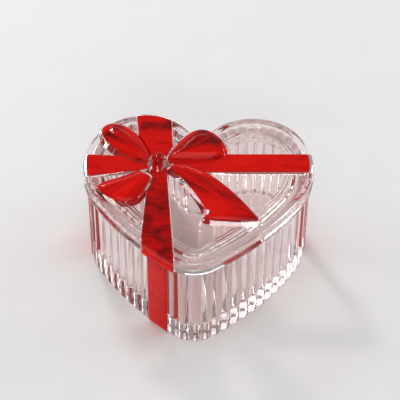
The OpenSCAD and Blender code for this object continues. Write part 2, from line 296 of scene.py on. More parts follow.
# %% [markdown]
# Clear glass is one Principled shader with full transmission. Its tint stays close to white,
# because light crosses many walls and every crossing multiplies it. Its faint pink, and the pink of
# the light it lets through, are a painted reflection of the ruby coat. The foot and the lid's seat
# are a touch hazy, as ground glass is. Real glass also lets light through to what lies under it.
# A path tracer finds that light only by chance, so for shadow and diffuse rays the glass is simply
# clear. A ray that has been thrown about inside the glass is let out too, because in the real glass
# it comes out somewhere bright.

# %% The clear glass
def new_material(name):
    made = bpy.data.materials.new(name)
    made.use_nodes = True
    made.node_tree.nodes.clear()
    return made, made.node_tree


def laid_skin(tree, place, wave_scale, haze_low, haze_high):
    """The skin group in a material, with its own waves and haze."""
    skin = node(tree, "ShaderNodeGroup", node_tree=skin_group)
    tree.links.new(place, skin.inputs["Place"])
    skin.inputs["Wave Scale"].default_value = wave_scale
    skin.inputs["Haze Low"].default_value = haze_low
    skin.inputs["Haze High"].default_value = haze_high
    return skin.outputs


# The faint pink of these two colours is a painted reflection of the ruby coat
CLEAR_WITH_PAINTED_PINK = (0.989, 0.924, 0.920, 1.0)
LET_THROUGH = (0.95, 0.912, 0.908, 1.0)
FOOT_HAZE = 0.12
FOOT_FROM = 1 * MM
FOOT_TO = 9 * MM
SEAT_HAZE = 0.04
SEAT_AT = 52.1 * MM
SEAT_REACH = 0.25 * MM
MOST_MIRRORINGS = 2.5
MOST_TURNS = 8.5
glass, tree = new_material("clear_glass")
place = node(tree, "ShaderNodeTexCoord").outputs["Object"]
skin = laid_skin(tree, place, 140.0, 0.0, 0.03)
bump = node(tree, "ShaderNodeBump",
            {"Height": skin["Height"], "Strength": 0.12, "Distance": 0.4 * MM})
height = node(tree, "ShaderNodeSeparateXYZ", {"Vector": place}).outputs["Z"]
foot = fade(tree, height, FOOT_FROM, FOOT_TO, FOOT_HAZE, 0.0)
on_seat = maths(tree, "COMPARE", height, SEAT_AT, SEAT_REACH)
ground = maths(tree, "MULTIPLY_ADD", on_seat, SEAT_HAZE, foot)
haze = maths(tree, "ADD", skin["Haze"], ground)
shader = node(tree, "ShaderNodeBsdfPrincipled",
              {"Base Color": CLEAR_WITH_PAINTED_PINK, "Roughness": haze, "IOR": 1.52, "Transmission Weight": 1.0,
               "Normal": bump.outputs["Normal"]})
passing = node(tree, "ShaderNodeBsdfTransparent", {"Color": LET_THROUGH})
ray_kind = node(tree, "ShaderNodeLightPath").outputs
unseen = maths(tree, "MAXIMUM", ray_kind["Is Shadow Ray"], ray_kind["Is Diffuse Ray"])
trapped = maths(tree, "GREATER_THAN", ray_kind["Glossy Depth"], MOST_MIRRORINGS)
long_way = maths(tree, "GREATER_THAN", ray_kind["Ray Depth"], MOST_TURNS)
let_out = maths(tree, "MAXIMUM", trapped, long_way)
straight = maths(tree, "MAXIMUM", unseen, let_out)
blend = node(tree, "ShaderNodeMixShader",
             {0: straight, 1: shader.outputs["BSDF"], 2: passing.outputs["BSDF"]})
node(tree, "ShaderNodeOutputMaterial", {"Surface": blend.outputs["Shader"]})
print("material:", glass.name)

# %% [markdown]
# The ruby coat is a stain brushed on and fired. It is a deep red with a wet gloss, darker in streaks
# where it pooled. On the bow the streaks are partly that random tone and partly painted shade of the
# folds of a ribbon: they fan out from the knot, so their noise is drawn out along rays from there.
# On the arms and panels it is plain. A picture could be painted for it, but two noises give streaks
# at any size.

# %% Streaks of the ruby coat, with painted fold shade on the bow
KNOT = np.array([-21.6, 16.3]) * MM
POOL_STRETCH = (60.0, 150.0, 90.0)
POOL_TURN = math.radians(35)
POOL_SHARE = 0.6
POOL_BASE = 0.26
FOLD_STRETCH = (5.0, 45.0, 1.0)
ruby, tree = new_material("ruby_coat")
place = node(tree, "ShaderNodeTexCoord").outputs["Object"]
stretch = node(tree, "ShaderNodeMapping", {"Vector": place, "Scale": POOL_STRETCH})
stretch.inputs["Rotation"].default_value = (0.0, 0.0, POOL_TURN)
pools = node(tree, "ShaderNodeTexNoise",
             {"Vector": stretch.outputs["Vector"], "Scale": 1.0, "Detail": 5.0, "Roughness": 0.55,
              "Distortion": 1.2})
calm = maths(tree, "MULTIPLY_ADD", pools.outputs["Fac"], POOL_SHARE, POOL_BASE)
# Painted shade of the ribbon's folds on the bow, over the stain's random tone: noise drawn out along rays
# from the knot
from_knot = node(tree, "ShaderNodeVectorMath", {0: place, 1: (*KNOT, 0.0)},
                 operation="SUBTRACT").outputs["Vector"]
apart = node(tree, "ShaderNodeSeparateXYZ", {"Vector": from_knot}).outputs
bearing = maths(tree, "ARCTAN2", apart["Y"], apart["X"])
reach = node(tree, "ShaderNodeVectorMath", {0: from_knot}, operation="LENGTH").outputs["Value"]
fan = node(tree, "ShaderNodeCombineXYZ", {"X": bearing, "Y": reach})
fan_scale = node(tree, "ShaderNodeMapping", {"Vector": fan.outputs["Vector"], "Scale": FOLD_STRETCH})
fold_shade = node(tree, "ShaderNodeTexNoise",
             {"Vector": fan_scale.outputs["Vector"], "Scale": 1.0, "Detail": 4.0, "Roughness": 0.6,
              "Distortion": 0.8})
print("streaks: pools on arms and panels, folds on the bow")

# %% [markdown]
# The coat is also darkened in some places. At the tops of the panels it is a painted shadow of the
# lid, on the top of the knot and in a crease near the end of each loop it is painted shade, and where
# the back arm crosses the rim it is a painted dark reflection. The front arm is darker toward its end,
# and the back arm a little darker before the rim. Each place is a mask from heights or from distances
# to the knot, and takes some brightness away.

# %% Where the ruby coat is darkened: painted shade, shadow and dark reflection, and the arms
BOW_FROM_Z = 61.2 * MM
LID_FROM_Z = 58 * MM
JAR_TO_Z = 52.2 * MM
ARM_INNER = 10 * MM
ARM_OUTER = 13 * MM
ARM_FROM = -20 * MM
ARM_TO = 40 * MM
# How much darker the front and back arms are, by the distance behind the knot;
# where the back arm crosses the rim this is a painted dark reflection
ARM_DARKENING = [(-20 * MM, 0.17), (-6 * MM, 0.0), (4 * MM, 0.0), (14 * MM, 0.08), (25 * MM, 0.08),
               (29.5 * MM, 0.25), (32.5 * MM, 0.25), (37 * MM, 0.04)]
LOOP_TO = 46 * MM
# The same along the two loops: painted shade in a crease that darkens toward the loop's rolled end
LOOP_CREASE_SHADE = [(22 * MM, 0.0), (31 * MM, 0.04), (35.6 * MM, 0.17), (36.8 * MM, 0.0)]
# Painted shadow of the lid on the tops of the panels
PANEL_TOP_FROM = 41 * MM
PANEL_TOP_TO = 50 * MM
PANEL_TOP_SHADOW = 0.18
# Painted shade on the top of the knot
KNOT_FROM_Z = 63 * MM
KNOT_TO_Z = 64.5 * MM
KNOT_TOP_SHADE = 0.12


def ramp(tree, value, stops):
    """A colour ramp's result, from stops that are each a place and a colour."""
    made = node(tree, "ShaderNodeValToRGB", {"Fac": value})
    points = made.color_ramp.elements
    while len(points) < len(stops):
        points.new(1.0)
    for point, (at, colour) in zip(points, stops):
        point.position = at
        point.color = colour
    return made.outputs["Color"]


def darkening_steps(tree, distance, start, end, steps):
    """A darkening that follows steps, each a distance and an amount of darkening."""
    share = fade(tree, distance, start, end, 0.0, 1.0)
    return ramp(tree, share, [((d - start) / (end - start), (c, c, c, 1.0)) for d, c in steps])


# A darker front arm, and a painted dark reflection where the back arm crosses the rim
off_middle = maths(tree, "ABSOLUTE", apart["X"])
near_middle = fade(tree, off_middle, ARM_INNER, ARM_OUTER, 1.0, 0.0)
arm_darkening = maths(tree, "MULTIPLY", near_middle, darkening_steps(tree, apart["Y"], ARM_FROM, ARM_TO, ARM_DARKENING))
on_lid = maths(tree, "GREATER_THAN", apart["Z"], LID_FROM_Z)
lid_arm_darkening = maths(tree, "MULTIPLY", arm_darkening, on_lid)
# Painted shadow of the lid at the tops of the panels
panel_top_shadow = fade(tree, apart["Z"], PANEL_TOP_FROM, PANEL_TOP_TO, 0.0, PANEL_TOP_SHADOW)
on_jar = maths(tree, "LESS_THAN", apart["Z"], JAR_TO_Z)
flat_darkening_and_shadow = maths(tree, "MULTIPLY_ADD", panel_top_shadow, on_jar, lid_arm_darkening)
# Painted shade in a crease near the end of each loop, by distance from the knot
in_plan = node(tree, "ShaderNodeVectorMath", {0: from_knot, 1: (1.0, 1.0, 0.0)}, operation="MULTIPLY")
out = node(tree, "ShaderNodeVectorMath", {0: in_plan.outputs["Vector"]}, operation="LENGTH")
loop_crease_shade = darkening_steps(tree, out.outputs["Value"], 0.0, LOOP_TO, LOOP_CREASE_SHADE)
behind = maths(tree, "GREATER_THAN", apart["Y"], 0.0)
# Painted shade on the top of the knot, by height
knot_top_shade = fade(tree, apart["Z"], KNOT_FROM_Z, KNOT_TO_Z, 0.0, KNOT_TOP_SHADE)
bow_painted_shade = maths(tree, "MULTIPLY_ADD", loop_crease_shade, behind, knot_top_shade)
print("darkened places:", len(ARM_DARKENING), "steps along the arms,", len(LOOP_CREASE_SHADE), "along the loops")

# %% [markdown]
# One ramp turns streaks and darkening into reds. The coat could be clear red glass, but it is so
# thin and so dark that a plain glossy red looks the same and renders with less noise.

# %% The ruby coat
# From the darkest red, for pools and painted shade, to a thin stain: a place on the ramp and a red
REDS = [(0.30, (0.16, 0.0006, 0.0006, 1.0)), (0.50, (0.60, 0.002, 0.0005, 1.0)),
        (0.72, (0.76, 0.006, 0.001, 1.0))]
# The painted shade, painted shadow, painted dark reflection and the arms' darkening are taken off the
# streaks here
on_arms = maths(tree, "SUBTRACT", calm, flat_darkening_and_shadow)
on_fold_shade = maths(tree, "SUBTRACT", fold_shade.outputs["Fac"], bow_painted_shade)
on_bow = maths(tree, "GREATER_THAN", apart["Z"], BOW_FROM_Z)
streaks = node(tree, "ShaderNodeMix", {0: on_bow, 2: on_arms, 3: on_fold_shade})
skin = laid_skin(tree, place, 220.0, 0.03, 0.10)
bump = node(tree, "ShaderNodeBump",
            {"Height": skin["Height"], "Strength": 0.25, "Distance": 0.5 * MM})
shader = node(tree, "ShaderNodeBsdfPrincipled",
              {"Base Color": ramp(tree, streaks.outputs[0], REDS), "Roughness": skin["Haze"],
               "IOR": 1.5, "Specular IOR Level": 0.17, "Normal": bump.outputs["Normal"]})
node(tree, "ShaderNodeOutputMaterial", {"Surface": shader.outputs["BSDF"]})
print("material:", ruby.name)

# %% [markdown]
# The bowl's wall is read off along its crests. Four panels take their places under the
# ribbon's ends, and a whole number of reeds shares each stretch between two panels. Every
# column keeps how far it is from its reed's crest, because the nodes need that.

# %% Columns of the bowl's wall
JAR_H = 52 * MM
OVERHANG = 2 * MM
WALL = 5 * MM
FLOOR_T = 8 * MM
DRAFT = 1.2 * MM
REED_PITCH = 6.4 * MM
REED_DEPTH = 1.5 * MM
REED_CUTS = 12
PANEL_CUTS = 10
PANEL_EDGE = 0.3 * MM
STEP_LEAN = 0.08 * MM
# Each panel: its arc, the angle of its middle and its width
PANELS = {
    "jar_panel_right": (RIGHT_SHOULDER, math.radians(1.6), 15 * MM),
    "jar_panel_back": (LEFT_LOBE, math.radians(80), 20 * MM),
    "jar_panel_left": (LEFT_SHOULDER, math.radians(185), 19 * MM),
    "jar_panel_front": (LEFT_SIDE, math.radians(230.3), 14 * MM),
}
lengths = [arc_length(k, OVERHANG) for k in range(len(ARCS))]
starts = np.concatenate([[0.0], np.cumsum(lengths)])
run_all = starts[-1]


def columns_on_run(runs):
    """Columns at distances along the crests, measured from the tip."""
    runs = np.asarray(runs) % run_all
    ids = np.clip(np.searchsorted(starts, runs, side="right") - 1, 0, len(ARCS) - 1)
    angles = []
    for k, run in zip(ids, runs):
        share = (run - starts[k]) / lengths[k]
        angles.append(ARCS[k][2] + (ARCS[k][3] - ARCS[k][2]) * share)
    return columns_at(ids, angles)


def panel_run(panel):
    k, angle, _ = panel
    return starts[k] + (angle - ARCS[k][2]) * (ARCS[k][1] - OVERHANG)


def panel_runs(panel, bare):
    """Runs across a panel, closer together at its two edges."""
    half = panel[2] / 2 - bare
    inner = np.linspace(-half + PANEL_EDGE, half - PANEL_EDGE, PANEL_CUTS + 1)
    return panel_run(panel) + np.concatenate([[-half], inner, [half]])


runs = []
from_crest = []
reed_count = 0
in_turn = list(PANELS.values())
for i, panel in enumerate(in_turn):
    across_panel = panel_runs(panel, STEP_LEAN)
    runs.extend(across_panel)
    from_crest.extend([0.0] * len(across_panel))
    after = in_turn[(i + 1) % len(in_turn)]
    begin = panel_run(panel) + panel[2] / 2
    end = panel_run(after) - after[2] / 2
    if end < begin:
        end += run_all
    reeds = round((end - begin) / REED_PITCH)
    reed_count += reeds
    steps = np.arange(reeds * REED_CUTS + 1)
    runs.extend(begin + (end - begin) * steps / steps[-1])
    phase = (steps % REED_CUTS) / REED_CUTS - 0.5
    from_crest.extend(phase)
wall_columns = columns_on_run(runs)
from_crest = np.array(from_crest)
print("reeds:", reed_count, "columns:", len(runs))

# %% [markdown]
# The bowl's section runs from the middle of its foot, up the outside, over the rim and down
# to the floor. The body is made at the bottom of the grooves. Each point keeps three values for
# the reeds: how far it is from a crest, how much of a reed's height it gets, and which way is out.
# The share is small at the foot, because reeds fade into the foot in a mould.

# %% The bowl before its reeds
GROOVE = OVERHANG + REED_DEPTH
MOUTH = OVERHANG + WALL
FLOOR_ROUND = 4 * MM
# Outer wall: height, how far inside the groove line, and the share of the reeds' height
OUTER_WALL = [
    (0.0, 1.3 * MM, 0.0), (0.08 * MM, 0.9 * MM, 0.1), (0.35 * MM, 0.45 * MM, 0.3),
    (0.8 * MM, 0.15 * MM, 0.6), (1.4 * MM, 0.0, 0.85), (2.2 * MM, 0.0, 1.0), (4.0 * MM, 0.0, 1.0),
    (16 * MM, 0.0, 1.0), (28 * MM, 0.0, 1.0), (40 * MM, 0.0, 1.0), (JAR_H - 2.5 * MM, 0.0, 1.0),
    (JAR_H - 1.1 * MM, 0.0, 1.0), (JAR_H - 0.5 * MM, 0.12 * MM, 1.0),
    (JAR_H - 0.15 * MM, 0.4 * MM, 0.97), (JAR_H, 0.9 * MM, 0.9),
]
RIM_INSIDE = [
    (JAR_H, MOUTH - 0.9 * MM), (JAR_H - 0.12 * MM, MOUTH - 0.4 * MM),
    (JAR_H - 0.45 * MM, MOUTH - 0.1 * MM), (JAR_H - 1.1 * MM, MOUTH),
]
UNDER_FOOT = [(0.35 * MM, 16 * MM), (0.3 * MM, 15 * MM), (0.02 * MM, 13.4 * MM), (0.0, 12.4 * MM),
              (0.0, GROOVE + 1.8 * MM)]
rows = [(z, inset, 0.0) for z, inset in UNDER_FOOT]
rows += [(z, GROOVE + inward, share) for z, inward, share in OUTER_WALL]
rows += [(z, inset, 0.0) for z, inset in RIM_INSIDE]
wall_low = FLOOR_T + FLOOR_ROUND
for share in (0.25, 0.5, 0.75, 0.95):
    z = JAR_H - 1.1 * MM - share * (JAR_H - 1.1 * MM - wall_low)
    rows.append((z, MOUTH + DRAFT * share, 0.0))
for angle in np.radians([0, 15, 30, 45, 60, 75, 90]):
    inward = FLOOR_ROUND * (1 - math.cos(angle))
    rows.append((wall_low - FLOOR_ROUND * math.sin(angle), MOUTH + DRAFT + inward, 0.0))
rows.append((FLOOR_T, MOUTH + DRAFT + FLOOR_ROUND + 0.6 * MM, 0.0))
verts, faces = stacked([ring(wall_columns, inset, z) for z, inset, _ in rows])
bowl = piece("jar_glass", verts, faces)
outward = np.column_stack([wall_columns["ray"] * wall_columns["bulge"][:, None],
                           np.zeros(len(runs))])


def store(obj, name, kind, values):
    key = "vector" if kind == "FLOAT_VECTOR" else "value"
    layer = obj.data.attributes.new(name, kind, "POINT")
    layer.data.foreach_set(key, np.asarray(values, np.float32).ravel())


store(bowl, "from_crest", "FLOAT", np.tile(from_crest, len(rows)))
store(bowl, "reed_share", "FLOAT", np.repeat([share for _, _, share in rows], len(runs)))
store(bowl, "outward", "FLOAT_VECTOR", np.tile(outward, (len(rows), 1)))
print("bowl:", len(rows), "rings of", len(runs))

# %% [markdown]
# A reed is a round rib pressed in the wall, and one rule gives them all. So a Geometry Nodes tree
# pushes them out of the body: each point moves outward by the height of a round reed at that
# distance from its crest. Arrays of ribs would need to be joined to the wall, and this needs no join.

# %% A tree that raises the reeds
reeds = bpy.data.node_groups.new("reeded wall", "GeometryNodeTree")
for label, kind in (("Bowl", "NodeSocketGeometry"), ("Reed Pitch", FLOAT),
                    ("Reed Depth", FLOAT), ("Glass", "NodeSocketMaterial")):
    reeds.interface.new_socket(label, in_out="INPUT", socket_type=kind)
reeds.interface.new_socket("Bowl", in_out="OUTPUT", socket_type="NodeSocketGeometry")
given = node(reeds, "NodeGroupInput").outputs


def named(name, kind):
    return node(reeds, "GeometryNodeInputNamedAttribute", {"Name": name},
                data_type=kind).outputs["Attribute"]


def squared(value):
    return maths(reeds, "POWER", value, 2.0)


half_pitch = maths(reeds, "MULTIPLY", given["Reed Pitch"], 0.5)
reach = maths(reeds, "ADD", squared(half_pitch), squared(given["Reed Depth"]))
reed_r = maths(reeds, "DIVIDE", reach, maths(reeds, "MULTIPLY", given["Reed Depth"], 2.0))
aside = maths(reeds, "MULTIPLY", named("from_crest", "FLOAT"), given["Reed Pitch"])
chord = maths(reeds, "SQRT", maths(reeds, "SUBTRACT", squared(reed_r), squared(aside)))
height = maths(reeds, "SUBTRACT", chord, maths(reeds, "SUBTRACT", reed_r, given["Reed Depth"]))
push = maths(reeds, "MULTIPLY", height, named("reed_share", "FLOAT"))
offset = node(reeds, "ShaderNodeVectorMath",
              {0: named("outward", "FLOAT_VECTOR"), "Scale": push}, operation="SCALE")
raised = node(reeds, "GeometryNodeSetPosition",
              {"Geometry": given["Bowl"], "Offset": offset.outputs["Vector"]})
real = node(reeds, "GeometryNodeRealizeInstances", {"Geometry": raised.outputs["Geometry"]})
finish = node(reeds, "GeometryNodeSetMaterial",
              {"Geometry": real.outputs["Geometry"], "Material": given["Glass"]})
node(reeds, "NodeGroupOutput", {"Bowl": finish.outputs["Geometry"]})

sockets = {s.name: s.identifier for s in reeds.interface.items_tree if s.in_out == "INPUT"}
step = bowl.modifiers.new("reeds", "NODES")
step.node_group = reeds
step[sockets["Reed Pitch"]] = REED_PITCH
step[sockets["Reed Depth"]] = REED_DEPTH
step[sockets["Glass"]] = glass
settled(bowl)
for name in ("from_crest", "reed_share", "outward"):
    bowl.data.attributes.remove(bowl.data.attributes[name])
print("bowl faces:", len(bowl.data.polygons), "open edges:", open_edges(bowl))
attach(bowl, "jar")
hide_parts("jar_bowl")

# %% [markdown]
# A panel's coat follows the glass below it, so it is made from the same rows of the wall and
# the same run of columns. It sits a hair inside the glass and stands a little proud of it,
# which lets its colour show through the glass from the other side.

# %% The ruby panels of the bowl
COAT_SINK = 0.05 * MM
COAT_RISE = 0.3 * MM
COAT_BARE = 0.25 * MM
PANEL_COAT_EDGE = 0.12 * MM


def shell(name, top, bottom, material):
    """A closed skin from two grids of points, rows by columns, with the top one outward."""
    rows_n, cols_n = top.shape[:2]
    verts = np.vstack([top.reshape(-1, 3), bottom.reshape(-1, 3)])
    far = rows_n * cols_n
    faces = []
    for r in range(rows_n - 1):
        for c in range(cols_n - 1):
            a = r * cols_n + c
            quad = (a, a + 1, a + 1 + cols_n, a + cols_n)
            faces.append(quad)
            faces.append(tuple(far + q for q in reversed(quad)))
    edge = list(range(cols_n))
    edge += [r * cols_n + cols_n - 1 for r in range(1, rows_n)]
    edge += [(rows_n - 1) * cols_n + c for c in range(cols_n - 2, -1, -1)]
    edge += [r * cols_n for r in range(rows_n - 2, 0, -1)]
    for a, b in zip(edge, edge[1:] + edge[:1]):
        faces.append((b, a, far + a, far + b))
    return piece(name, verts, faces, material)


panel_rows = OUTER_WALL[2:-1]
for name, panel in PANELS.items():
    columns = columns_on_run(panel_runs(panel, COAT_BARE))
    count = len(columns["radius"])
    top = []
    bottom = []
    for r, (z, inward, share) in enumerate(panel_rows):
        face = GROOVE + inward - REED_DEPTH * share
        rise = np.full(count, COAT_RISE)
        rise[[0, -1]] = PANEL_COAT_EDGE
        if r in (0, len(panel_rows) - 1):
            rise[:] = PANEL_COAT_EDGE
        top.append(ring(columns, face - rise, z))
        bottom.append(ring(columns, face + COAT_SINK, z))
    coat = shell(name + "_coat", np.array(top), np.array(bottom), ruby)
    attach(coat, "jar")
    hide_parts(name)
    print(coat.name, "open edges:", open_edges(coat))

# %% [markdown]
# The lid and the bow need outlines drawn in by some distance, and the distance of a point from an
# outline. A drawn-in outline crosses itself at tight corners, so points that come too near to the
# outline they left are taken out.

# %% Helpers that measure an outline
NEARLY = 0.997


def edge_normals(outline):
    tangent = np.roll(outline, -1, axis=0) - np.roll(outline, 1, axis=0)
    tangent /= np.linalg.norm(tangent, axis=1)[:, None]
    return np.column_stack([tangent[:, 1], -tangent[:, 0]])


def distance_in(points, outline):
    """Distance from points to an outline."""
    start = outline[None]
    side = np.roll(outline, -1, axis=0)[None] - start
    toward = points[:, None] - start
    along = np.clip((toward * side).sum(2) / (side ** 2).sum(2), 0, 1)
    return np.linalg.norm(toward - along[..., None] * side, axis=2).min(axis=1)


def inside(points, outline):
    x, y = points[:, 0:1], points[:, 1:2]
    ax, ay = outline[:, 0], outline[:, 1]
    bx, by = np.roll(ax, -1), np.roll(ay, -1)
    spans = (ay > y) != (by > y)
    with np.errstate(divide="ignore", invalid="ignore"):
        cross = ax + (y - ay) * (bx - ax) / (by - ay)
    return ((spans & (x < cross)).sum(axis=1) % 2) == 1


def drawn_in(outline, by):
    """The outline drawn in, without the loops that tight corners would make."""
    by = np.broadcast_to(by, len(outline))
    moved = outline - edge_normals(outline) * by[:, None]
    sound = inside(moved, outline) & (distance_in(moved, outline) > NEARLY * by.min())
    sound &= np.roll(sound, 1) & np.roll(sound, -1)
    return moved[sound]


print("outline helpers ready")

# %% [markdown]
# A flat place is filled with points: a few rows that follow its edge, and an even grid inside.
# A constrained Delaunay triangulation joins them without crossing the outline. One big face
# would be simpler, but light in clear glass shows how such a face is split.

# %% Helpers that fill an outline
MERGE = 1e-7


def filled(outline, edge_rows, grid):
    """Points and triangles that fill an outline. The outline's own points come first."""
    sets = [outline] + [drawn_in(outline, d) for d in edge_rows]
    low, high = outline.min(axis=0), outline.max(axis=0)
    xs = np.arange(low[0], high[0], grid)
    ys = np.arange(low[1], high[1], grid * math.sqrt(3) / 2)
    gx, gy = np.meshgrid(xs, ys)
    gx[1::2] += grid / 2
    net = np.column_stack([gx.ravel(), gy.ravel()])
    margin = max(edge_rows) + 0.5 * grid
    deep = inside(net, outline) & (distance_in(net, outline) > margin)
    points = np.vstack(sets + [net[deep]])
    rim = list(range(len(outline)))
    made, _, tris, origin, _, _ = delaunay_2d_cdt([Vector(p) for p in points], [], [rim], 1, MERGE)
    if len(made) != len(points):
        print("points merged:", len(points) - len(made))
    order = [o[0] for o in origin]
    triangles = [tuple(order[i] for i in t) for t in tris]
    a, b, c = (points[i] for i in triangles[0])
    if (b[0] - a[0]) * (c[1] - a[1]) - (b[1] - a[1]) * (c[0] - a[0]) < 0:
        triangles = [t[::-1] for t in triangles]
    return points, triangles


def turned(rings, grid):
    """A stack of rings closed by filled ends, both seen from above as the same outline."""
    count = len(rings[0])
    verts, faces = stacked(rings, capped=False)
    for at, ring_points, flip in ((0, rings[0], True), ((len(rings) - 1) * count, rings[-1], False)):
        points, triangles = filled(ring_points[:, :2], (0.4 * grid,), grid)
        new = np.column_stack([points[count:], np.full(len(points) - count, ring_points[0, 2])])
        shift = len(verts) - count
        verts = np.vstack([verts, new])
        for t in triangles:
            ids = tuple(i + at if i < count else i + shift for i in t)
            faces.append(ids[::-1] if flip else ids)
    return verts, faces


print("filling helpers ready")

# %% [markdown]
# The lid is one more stack of rings. Its section starts under the middle, steps up to the locating
# flange, follows it and the seat, climbs the bead and the rim, and crosses a narrow land to the
# flat middle. Corner cutting gives it the soft edges of fire-polished glass.

# %% The lid before its relief
SEAT_GAP = 0.2 * MM
SEAT_Z = JAR_H + SEAT_GAP
RIM_H = 7.6 * MM
LAND_W = 2.8 * MM
LAND_SLOPE = 0.7 * MM
FIELD_H = 7 * MM
FIELD_T = 4.7 * MM
STEP_W = 2 * MM
STEP_H = 0.6 * MM
STEP_SLOPE = 0.5 * MM
FLANGE_H = 4.5 * MM
FLANGE_T = 2.8 * MM
MOUTH_GAP = 0.5 * MM
EDGE = 0.5 * MM
BEAD_H = 2.6 * MM
BEAD_OUT = 0.6 * MM
LAND_OUT = BEAD_OUT + 0.9 * MM
LAND_IN = LAND_OUT + LAND_W
FLANGE_IN = MOUTH + MOUTH_GAP
HOLLOW_IN = FLANGE_IN + FLANGE_T
HOLLOW_Z = FIELD_H - FIELD_T
STEP_OUT = HOLLOW_IN + 0.7 * MM
STEP_MID = STEP_OUT + STEP_W
STEP_IN = STEP_MID + STEP_W
LID_STEP = 1.1 * MM
LID_GRID = 3 * MM

UNDER_PATH = [
    (STEP_IN + 0.4 * MM, HOLLOW_Z), (STEP_IN, HOLLOW_Z), (STEP_IN - STEP_SLOPE, HOLLOW_Z + STEP_H),
    (STEP_MID, HOLLOW_Z + STEP_H), (STEP_MID - STEP_SLOPE, HOLLOW_Z + 2 * STEP_H),
    (STEP_OUT, HOLLOW_Z + 2 * STEP_H), (HOLLOW_IN + 0.3 * MM, HOLLOW_Z + STEP_H),
    (HOLLOW_IN, EDGE - FLANGE_H), (HOLLOW_IN - EDGE, -FLANGE_H), (FLANGE_IN + EDGE, -FLANGE_H),
    (FLANGE_IN, EDGE - FLANGE_H), (FLANGE_IN, -0.3 * MM), (FLANGE_IN - 0.3 * MM, 0.0),
    (EDGE, 0.0),
]
ARM_PATH = [
    (0.0, EDGE), (0.0, BEAD_H - 0.3 * MM), (BEAD_OUT, BEAD_H + 0.3 * MM),
    (BEAD_OUT, RIM_H - 0.9 * MM), (BEAD_OUT + 0.3 * MM, RIM_H - 0.25 * MM), (LAND_OUT, RIM_H),
    (LAND_IN, RIM_H),
]
LAND_PATH = [(LAND_IN + LAND_SLOPE, FIELD_H), (LAND_IN + LAND_SLOPE + 0.6 * MM, FIELD_H)]
lid_path = cut_corners(UNDER_PATH + ARM_PATH + LAND_PATH, 2)
ids = []
angles = []
for k, arc in enumerate(ARCS):
    cuts = max(8, math.ceil(arc_length(k, 0.0) / LID_STEP))
    ids += [k] * cuts
    angles += list(arc[2] + (arc[3] - arc[2]) * np.arange(cuts) / cuts)
lid_columns = columns_at(ids, angles)
verts, faces = turned([ring(lid_columns, inset, SEAT_Z + z) for inset, z in lid_path], LID_GRID)
lid = piece("lid_glass", verts, faces, glass)
print("lid:", len(lid_path), "rings of", len(ids), "open edges:", open_edges(lid))

# %% [markdown]
# The bow is two loops, two tails and a knot. A loop is an egg shape that swells away from the
# knot, and a tail is a cut ribbon with soft corners. Each has a sloping clear wall and a pillowed
# top. Both heights come from the distance to the piece's own outline.

# %% Outlines of the bow in plan
EGG_POINTS = 150


def egg(start, heading, length, width, swell):
    turn = 2 * PI * np.arange(EGG_POINTS) / EGG_POINTS
    along = length / 2 * (1 + np.cos(turn))
    aside = width / 2 * np.sin(turn) * (1 + swell * np.cos(turn))
    a = math.radians(heading)
    ahead = np.array([math.cos(a), math.sin(a)])
    left = np.array([-ahead[1], ahead[0]])
    return np.array(start) * MM + along[:, None] * ahead + aside[:, None] * left


def cut_ribbon(corners):
    """A ribbon's end: corners rounded, sides cut into short steps."""
    path = cut_corners(np.array(corners, float) * MM, 3, closed=True)
    dense = []
    for here, ahead in zip(path, np.roll(path, -1, axis=0)):
        cuts = max(1, round(float(np.linalg.norm(ahead - here)) / (0.7 * MM)))
        dense += [here + (ahead - here) * i / cuts for i in range(cuts)]
    return np.array(dense)


BOW_RISE = 2.6 * MM
KNOT_RISE = 2.6 * MM
KNOT_L = 17
# Each piece: outline, rise of its edge, swell of its top, width of the swell, lean of its wall
BOW = {
    "bow_tail_left": (cut_ribbon([(-29, 12.5), (-39, 5), (-53, -1.5), (-54, -6.5), (-49.5, -12),
                                  (-43, -16.5), (-37, -18), (-31.5, -16.5), (-27.5, -12), (-22, 5)]),
                      BOW_RISE, 1.0 * MM, 6 * MM, 1.5 * MM),
    "bow_tail_right": (cut_ribbon([(-19.5, 13), (-13.6, 7), (-6.8, -1), (-1.2, -10.6), (3.6, -20.6),
                                   (2.8, -27), (6, -29.5), (34.5, -30), (35.5, -27), (18.5, -2),
                                   (3.6, 12), (-8, 18)]),
                       BOW_RISE, 0.9 * MM, 7 * MM, 1.9 * MM),
    "bow_loop_left": (egg((-25.5, 14), 129, 43.5 * MM, 20 * MM, 0.32),
                      BOW_RISE, 2.0 * MM, 7.5 * MM, 2.4 * MM),
    "bow_loop_right": (egg((-18.8, 17.9), 32, 38 * MM, 26.6 * MM, 0.6),
                       BOW_RISE, 2.0 * MM, 9 * MM, 2.6 * MM),
    "bow_knot": (egg((-21.6, 16 - KNOT_L / 2), 90, KNOT_L * MM, 13.5 * MM, 0.0),
                 BOW_RISE + KNOT_RISE, 1.6 * MM, 4 * MM, 3.4 * MM),
}
for name, (outline, *_) in BOW.items():
    print(name, "outline points:", len(outline))

# %% [markdown]
# Each piece of the bow is made twice over the same heights: a clear solid rooted in the lid, and a
# thin red skin on its top. The skin stops short of the piece's edge, which leaves a clear wall that
# catches the light. On one side of each loop it runs down to the foot. Sculpting could give freer
# folds, but heights worked out from the outline keep the skin and the glass exactly together.

# %% Relief and coats of the bow
GRID = 0.9 * MM
# Rows of points along a piece's edge, as shares of the width of its wall
EDGE_SHARES = (0.12, 0.3, 0.5, 0.7, 0.85, 0.95, 1.05, 1.15, 1.35)
EDGE_SOFT = 0.16 * MM
ROOT = 0.6 * MM
SKIN_ROWS = (0.15 * MM, 0.4 * MM, 0.8 * MM)
SKIN_EDGE = 0.1 * MM
SKIN_BARE = 0.96
SKIN_RUN = 0.85
SKIN_RUN_SPREAD = 1.5
KNOT_BAND = np.array([0.5, 0.96])


